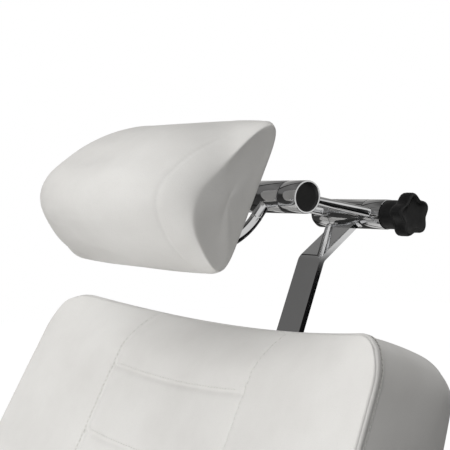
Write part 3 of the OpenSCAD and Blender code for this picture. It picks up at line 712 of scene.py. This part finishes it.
def upholster(pad, place, body, nodes, cap, welt_r=0.004, pressure=4.0):
    """Puffs, sews and trims a pad, and puts it in place of its CAD solid."""
    pad.puff(cap, pressure)
    pad.sew()
    stitch_points, stitch_faces = pad.stitches()
    welt = sweep(pad.rim_line(-0.50 * welt_r, -0.98 * welt_r), welt_r, closed=True, sides=16)
    ridge = sweep(pad.rim_line(-0.02 * welt_r, -2.38 * welt_r), 0.46 * welt_r, closed=True, sides=12)
    pieces = [pad.obj, mesh_object(pad.name + "_welt", *joined([welt, ridge]))]
    trim = side_stitches(pad.rim_line(0.36 * welt_r, -2.02 * welt_r), 0.0050, 0.00045)
    trim_points, trim_faces = joined(trim)
    if pad.bow:
        stitch_points = pad.bowed(stitch_points)
        set_points(pad.obj.data, pad.bowed(get_points(pad.obj.data)))
    all_points, all_faces = joined([(stitch_points, stitch_faces), (trim_points, trim_faces)])
    pieces.append(mesh_object(pad.name + "_thread", all_points, all_faces))
    for piece, material in zip(pieces, (MATERIALS["upholstery"], MATERIALS["upholstery"], THREAD)):
        piece.data.transform(place)
        piece.data.update()
        paint_on(piece, material)
        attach(piece, body)
    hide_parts(*nodes)
    return pieces


def side_stitches(line, pitch, thread):
    """Short threads along a closed line."""
    even = resampled(line, pitch)
    count = len(even)
    parts = []
    for i, p in enumerate(even):
        parts.append(sweep([p, p.lerp(even[(i + 1) % count], 0.35), p.lerp(even[(i + 1) % count], 0.7)],
                           thread, sides=5))
    return parts


def build_back():
    """The back pad; its cover wraps the edge of the board too."""
    pad = Pad("back_pad", 0.055, 0.7590, -0.083, 0.061, 0.306, 0.288, 0.048,
              upright=(0.116,), cross=(0.680, 0.610, 0.540, 0.470, 0.400, 0.330, 0.260, 0.190, 0.120),
              crown=0.004, pull=0.004, roll=0.031, roll_len=0.052, hollow=0.013, wings=2.2,
              dip=0.008, rear_round=0.010, top_fall=0.010, lean=0.011, bow=0.006)
    return upholster(pad, BACK, "back", ("back_cushion", "back_board"), 0.007)


def build_seat():
    low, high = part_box("seat_cushion")
    middle = Matrix.Translation((0, (low.y + high.y) / 2, low.z))
    half_len = (high.y - low.y) / 2
    pad = Pad("seat_pad", -half_len, half_len, 0.0, high.z - low.z - 0.012, 0.256, 0.256, 0.042,
              upright=(0.116,), cross=(-0.13, -0.06, 0.01, 0.08, 0.15), crown=0.006, pull=0.004,
              roll=0.016, roll_end="low", hollow=0.010)
    return upholster(pad, middle, "seat", ("seat_cushion",), 0.008)


def build_leg_rest():
    pad = Pad("leg_pad", -0.469, -0.026, -0.015, 0.068, 0.236, 0.236, 0.040,
              upright=(0.116,), cross=(-0.40, -0.33, -0.26, -0.19, -0.12), crown=0.005, pull=0.004,
              roll=0.014, roll_end="low")
    return upholster(pad, LEG, "leg_rest", ("leg_cushion",), 0.008)


def build_arm_pads():
    for side, sign in (("left", 1), ("right", -1)):
        node = f"arm_pad_{side}"
        low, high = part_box(node)
        middle = Matrix.Translation(((low.x + high.x) / 2, (low.y + high.y) / 2, low.z))
        half_len = (high.y - low.y) / 2 - 0.001
        half = (high.x - low.x) / 2 - 0.002
        pad = Pad(f"arm_{side}_pad", -half_len, half_len, 0.0, high.z - low.z - 0.007, half, half, 0.026,
                  step=0.007, crown=0.004, pull=0.001)
        upholster(pad, middle, f"{side}_arm", (node,), 0.004, welt_r=0.0028)


# ---- head cushion ----

HEAD_HALF = 0.132
HEAD_SEAM = 0.109
HEAD_REAR = -0.1212
HEAD_CORE = np.array([-0.160, -0.055])


def polar(outline, angles):
    """The closed outline as distances from the head cushion's core, at the given angles."""
    away = evened(outline, 600) - HEAD_CORE
    angle = np.arctan2(away[:, 1], away[:, 0])
    order = np.argsort(angle)
    return np.interp(angles, angle[order], np.linalg.norm(away, axis=1)[order], period=2 * math.pi)


def head_outlines(angles):
    """The head cushion's outline in its middle and at its flat end: (y, z, rounding) corners."""
    middle = rounded_outline([
        (HEAD_REAR, 0.0485, 0.005), (-0.2025, 0.0072, 0.042), (-0.2470, -0.082, 0.0435), (-0.172, -0.131, 0.044),
        (HEAD_REAR, -0.1227, 0.004),
    ], 10)
    end = rounded_outline([
        (HEAD_REAR, 0.0465, 0.038), (-0.146, 0.027, 0.016), (-0.189, -0.077, 0.033), (-0.138, -0.1210, 0.026),
        (HEAD_REAR, -0.1215, 0.026),
    ], 10)
    return polar(middle, angles), polar(end, angles)


def head_stations():
    """Places across the head cushion, closer at the seams and round the ends."""
    inner = stations(-HEAD_SEAM, HEAD_SEAM, 0.0065)
    rest = HEAD_HALF - HEAD_SEAM
    tail = [HEAD_SEAM + rest * math.sin(a * math.pi / 2) for a in (0.1, 0.2, 0.32, 0.44, 0.56, 0.68, 0.78, 0.87, 0.94, 1)]
    return [-x for x in reversed(tail)] + inner + tail


def soften(obj, start, full, passes):
    """Relaxes the mesh towards both ends, where |x| goes from start to full."""
    mesh = obj.data
    points = get_points(mesh)
    edges = np.array([edge.vertices[:] for edge in mesh.edges])
    amount = np.clip((np.abs(points[:, :1]) - start) / (full - start), 0, 1) * 0.5
    degree = np.bincount(edges.ravel(), minlength=len(points))[:, None]
    for _ in range(passes):
        total = np.zeros_like(points)
        np.add.at(total, edges[:, 0], points[edges[:, 1]])
        np.add.at(total, edges[:, 1], points[edges[:, 0]])
        points += amount * (total / degree - points)
    set_points(mesh, points)


def build_head_cushion():
    """One cover over pad and board: a D-shaped middle that narrows to a flat panel at each end."""
    count = 112
    angles = np.linspace(-math.pi, math.pi, count, endpoint=False)
    directions = np.stack([np.cos(angles), np.sin(angles)], axis=1)
    middle, end = head_outlines(angles)
    # the underside starts to narrow nearer the middle than the top does
    downwards = np.clip(-directions[:, 1], 0, 1) ** 0.7
    narrow_from = 0.026 - 0.016 * downwards
    points = []
    rings = []
    for x in head_stations():
        t = np.clip((abs(x) - narrow_from) / (HEAD_HALF - narrow_from), 0, 1)
        share = 1 - (1 - t ** 2) ** (1 / 1.52)
        ring = HEAD_CORE + directions * (middle * (1 - share) + end * share)[:, None]
        ring[:, 0] = np.minimum(ring[:, 0], HEAD_REAR)
        rings.append(len(points))
        points.extend((x, y, z) for y, z in ring)
    faces = []
    for a, b in zip(rings, rings[1:]):
        for k in range(count):
            k2 = (k + 1) % count
            faces.append((a + k, b + k, b + k2, a + k2))
    for start, sign in ((rings[0], -1), (rings[-1], 1)):
        previous = start
        ring = np.array(points[start:start + count])
        centre = ring.mean(axis=0)
        for scale in (0.93, 0.84, 0.72, 0.58, 0.44, 0.30, 0.16, 0.05):
            now = len(points)
            inner = centre + (ring - centre) * scale
            inner[:, 0] += sign * 0.0015 * (1 - scale ** 2)
            points.extend(map(tuple, inner))
            for k in range(count):
                k2 = (k + 1) % count
                quad = (previous + k, now + k, now + k2, previous + k2)
                faces.append(quad if sign > 0 else quad[::-1])
            previous = now
        points.append(tuple(centre + np.array([sign * 0.0015, 0, 0])))
        for k in range(count):
            tip = (previous + k, len(points) - 1, previous + (k + 1) % count)
            faces.append(tip if sign > 0 else tip[::-1])
    obj = mesh_object("head_pad", points, faces)
    soften(obj, HEAD_HALF - 0.010, HEAD_HALF, 6)
    rest = get_points(obj.data)
    held = (rest[:, 1] > HEAD_REAR - 0.002) | (np.abs(np.abs(rest[:, 0]) - HEAD_SEAM) < 0.0008)
    inflate(obj, np.nonzero(held)[0], 0.003, 1.0)
    subdivided(obj)
    points = get_points(obj.data)
    distance = np.abs(np.abs(points[:, 0]) - HEAD_SEAM)
    free = np.clip((HEAD_REAR - 0.002 - points[:, 1]) / 0.01, 0, 1)
    away = points[:, 1:] - HEAD_CORE
    away /= np.linalg.norm(away, axis=1, keepdims=True)
    angle = np.arctan2(away[:, 1], away[:, 0])
    press = 0.0005 * np.exp(-(distance / 0.0016) ** 2)
    ripple = 0.00005 * np.sin(angle * 60) * np.exp(-(distance / 0.006) ** 2)
    points[:, 1:] -= away * ((press + ripple) * free)[:, None]
    set_points(obj.data, points)
    obj.data.transform(PILLOW)
    obj.data.update()
    paint_on(obj, MATERIALS["upholstery"])
    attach(obj, "headrest")
    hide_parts("headrest_cushion", "headrest_board")


# ---- star knob ----

def star_ring(x, radius, star, count=120):
    """A ring round the rear tube's axis: star 0 is a circle, 1 the full five lobes."""
    ring = []
    for k in range(count):
        a = 2 * math.pi * k / count
        r = radius * (1 + 0.125 * star * math.cos(5 * (a - math.radians(26))))
        ring.append((x, r * math.cos(a), r * math.sin(a)))
    return ring


def build_star_knob():
    """A moulded knob: a round collar, a neck, and a five-lobed head with a dished face."""
    count = 120
    low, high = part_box("star_knob")
    start, end = low.x, high.x
    profile = [
        (0.0000, 0.0165, 0), (0.0000, 0.0180, 0), (0.0006, 0.0188, 0), (0.0020, 0.0192, 0), (0.0090, 0.0192, 0),
        (0.0160, 0.0190, 0), (0.0200, 0.0188, 0.02), (0.0225, 0.0190, 0.10), (0.0240, 0.0200, 0.35),
        (0.0250, 0.0218, 0.8), (0.0260, 0.0234, 1), (0.0275, 0.0248, 1), (0.0300, 0.0259, 1), (0.0340, 0.0263, 1),
    ]
    length = end - start
    face = [
        (0.0040, 0.0262, 1), (0.0018, 0.0256, 1), (0.0005, 0.0246, 1), (0.0, 0.0234, 1), (0.0003, 0.0222, 1),
        (0.0012, 0.0210, 0.95), (0.0024, 0.0198, 0.85), (0.0033, 0.0176, 0.6), (0.0037, 0.0145, 0.3),
        (0.0038, 0.0100, 0), (0.0038, 0.0050, 0),
    ]
    rows = [(start + x, r, star) for x, r, star in profile] + [(start + length - x, r, star) for x, r, star in face]
    points = []
    for x, r, star in rows:
        points.extend(star_ring(x, r, star, count))
    faces = []
    for row in range(len(rows) - 1):
        for k in range(count):
            k2 = (k + 1) % count
            faces.append((row * count + k, row * count + k2, (row + 1) * count + k2, (row + 1) * count + k))
    for row, x in ((0, start), (len(rows) - 1, rows[-1][0])):
        points.append((x, 0, 0))
        for k in range(count):
            tip = (row * count + k, row * count + (k + 1) % count, len(points) - 1)
            faces.append(tip if row else tip[::-1])
    knob = mesh_object("clamp_star_knob", points, faces)
    place = REAR_TUBE.copy()
    place[0][3] = 0
    knob.data.transform(place)
    knob.data.update()
    paint_on(knob, MATERIALS["black_plastic"])
    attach(knob, "hinge_clamp")
    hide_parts("star_knob")


# ---- stage, light and camera ----

def build_floor():
    """A pale floor that fades to white away from the chair; other rays see it darker, so it lights less."""
    radius = 9.0
    ring = [(radius * math.cos(a), radius * math.sin(a), -0.0005)
            for a in np.linspace(0, 2 * math.pi, 64, endpoint=False)]
    floor = mesh_object("floor", ring, [tuple(range(64))], smooth=False)
    s = Shader("pale_floor")
    distance = s.nodes.new("ShaderNodeVectorMath")
    distance.operation = "LENGTH"
    s.links.new(s.coords, distance.inputs[0])
    seen = s.nodes.new("ShaderNodeLightPath").outputs["Is Camera Ray"]
    fade = s.math("MULTIPLY", s.remap(distance.outputs["Value"], 0.7, 1.9, 0, 1), seen)
    speckle = s.remap(s.noise(240, 3), 0.3, 0.7, 0.80, 0.84)
    tone = s.mix(seen, (0.36, 0.36, 0.36), s.mix(fade, s.mix(speckle, (0, 0, 0), (1, 1, 1)), (0, 0, 0)))
    s.set(Base_Color=tone, Roughness=0.6, Specular_IOR_Level=0.1, Emission_Color=(1, 1, 1, 1), Emission_Strength=fade)
    paint_on(floor, s.material)
    floor.visible_glossy = False


def build_world():
    """White to the camera, dimmer to diffuse rays, and a banded room to mirror-like metal."""
    world = bpy.data.worlds.new("studio")
    SCENE.world = world
    world.use_nodes = True
    nodes, links = world.node_tree.nodes, world.node_tree.links
    nodes.clear()
    out = nodes.new("ShaderNodeOutputWorld")
    path = nodes.new("ShaderNodeLightPath")
    coords = nodes.new("ShaderNodeTexCoord")
    split = nodes.new("ShaderNodeSeparateXYZ")
    links.new(coords.outputs["Generated"], split.inputs[0])

    def remapped(value, low, high):
        node = nodes.new("ShaderNodeMapRange")
        links.new(value, node.inputs["Value"])
        node.inputs["From Min"].default_value = low
        node.inputs["From Max"].default_value = high
        return node.outputs[0]

    def banded(bands):
        """Brightness by the sine of the elevation."""
        ramp = nodes.new("ShaderNodeValToRGB")
        links.new(remapped(split.outputs["Z"], -1, 1), ramp.inputs[0])
        while len(ramp.color_ramp.elements) < len(bands):
            ramp.color_ramp.elements.new(0.5)
        for element, (sine, value) in zip(ramp.color_ramp.elements, bands):
            element.position = (sine + 1) / 2
            element.color = (value, value * 0.985, value * 0.96, 1)
        return ramp.outputs[0]

    def background(color, strength):
        node = nodes.new("ShaderNodeBackground")
        if isinstance(color, bpy.types.NodeSocket):
            links.new(color, node.inputs["Color"])
        else:
            node.inputs["Color"].default_value = (*color, 1)
        node.inputs["Strength"].default_value = strength
        return node.outputs[0]

    def blend(share, a, b):
        node = nodes.new("ShaderNodeMixShader")
        links.new(share, node.inputs[0])
        links.new(a, node.inputs[1])
        links.new(b, node.inputs[2])
        return node.outputs[0]

    ahead = nodes.new("ShaderNodeVectorMath")
    ahead.operation = "DOT_PRODUCT"
    links.new(coords.outputs["Generated"], ahead.inputs[0])
    ahead.inputs[1].default_value = (-0.54, 0.84, 0.0)
    ahead = ahead.outputs["Value"]
    room = banded(((-1, 0.80), (-0.74, 0.66), (-0.66, 0.55), (-0.60, 0.06), (0.08, 0.03), (0.15, 0.04),
                   (0.24, 0.16), (0.55, 0.17), (0.70, 0.20), (0.90, 0.08), (1, 0.03)))
    beyond = banded(((-1, 0.75), (-0.62, 0.65), (-0.55, 0.03), (-0.32, 0.04), (-0.05, 0.34), (0.0, 0.01),
                     (0.05, 0.02), (0.10, 0.60), (0.22, 0.45), (0.5, 0.26), (0.9, 0.22), (1, 0.15)))
    dark = background((0.006, 0.006, 0.006), 1.0)
    lights = background((1, 1, 1), 0.36)
    mirror = blend(remapped(ahead, 0.425, 0.435), background(room, 1.0), dark)
    mirror = blend(remapped(ahead, 0.505, 0.515), mirror, background(beyond, 1.0))
    lamp = background((0.78, 0.775, 0.76), 1.0)
    beside = blend(remapped(split.outputs["Y"], 0.05, 0.10), lamp, dark)
    beside = blend(remapped(split.outputs["Z"], -0.09, -0.07), beside, lamp)
    mirror = blend(remapped(split.outputs["X"], 0.16, 0.20), mirror, beside)
    lit = blend(path.outputs["Is Glossy Ray"], lights, mirror)
    links.new(blend(path.outputs["Is Camera Ray"], lit, background((1, 1, 1), 1.0)), out.inputs[0])


def area_light(name, place, aim, size, power, mirrored=True):
    light = bpy.data.lights.new(name, "AREA")
    light.shape = "RECTANGLE"
    light.size, light.size_y = size
    light.energy = power
    obj = add_object(name, light)
    obj.location = place
    obj.rotation_euler = (Vector(aim) - Vector(place)).to_track_quat("-Z", "Y").to_euler()
    obj.visible_glossy = mirrored
    return obj


def build_camera():
    """The photograph's view: a corner of a wide picture, so the lens is shifted. Other views drop the shift."""
    place = Vector(JOINTS["headrest_swing"]["pos_m"]) + Vector((0.77932, -0.76308, 0.03178))
    azimuth, pitch = math.radians(32.7), math.radians(10.54)
    data = bpy.data.cameras.new("camera")
    camera = add_object("camera", data)
    forward = Vector((-math.sin(azimuth) * math.cos(pitch), math.cos(azimuth) * math.cos(pitch), math.sin(pitch)))
    camera.location = place
    camera.rotation_mode = "QUATERNION"
    camera.rotation_quaternion = forward.to_track_quat("-Z", "Y")
    data.sensor_width = 36.0
    data.lens = 59.222
    data.clip_start = 0.02
    shifts = {"shift_x": -0.6714, "shift_y": -0.38238}
    for channel, value in shifts.items():
        setattr(data, channel, value)
        driver = data.driver_add(channel).driver
        variable = driver.variables.new()
        variable.name = "x"
        variable.type = "TRANSFORMS"
        variable.targets[0].id = camera
        variable.targets[0].transform_type = "LOC_X"
        driver.expression = f"{value:.5f} if abs(x - {place.x:.5f}) < 0.0005 else 0.0"
    SCENE.camera = camera


def build_studio():
    build_floor()
    build_world()
    area_light("key", (0.0, -3.0, 1.85), (0, 0.2, 1.25), (2.8, 1.8), 78, mirrored=False)
    area_light("low", (0.2, -2.6, 0.5), (0, 0.3, 1.3), (2.4, 0.8), 17, mirrored=False)
    area_light("top", (-0.3, 0.2, 3.4), (0, 0.2, 1.0), (2.2, 2.2), 18, mirrored=False)
    area_light("back", (-0.6, 2.8, 1.9), (0, 0.3, 1.0), (2.0, 1.6), 10, mirrored=False)
    SCENE.view_settings.view_transform = "Standard"
    SCENE.view_settings.look = "None"


finish_cad_nodes()
build_back()
build_seat()
build_leg_rest()
build_arm_pads()
build_head_cushion()
build_star_knob()
build_studio()
build_camera()
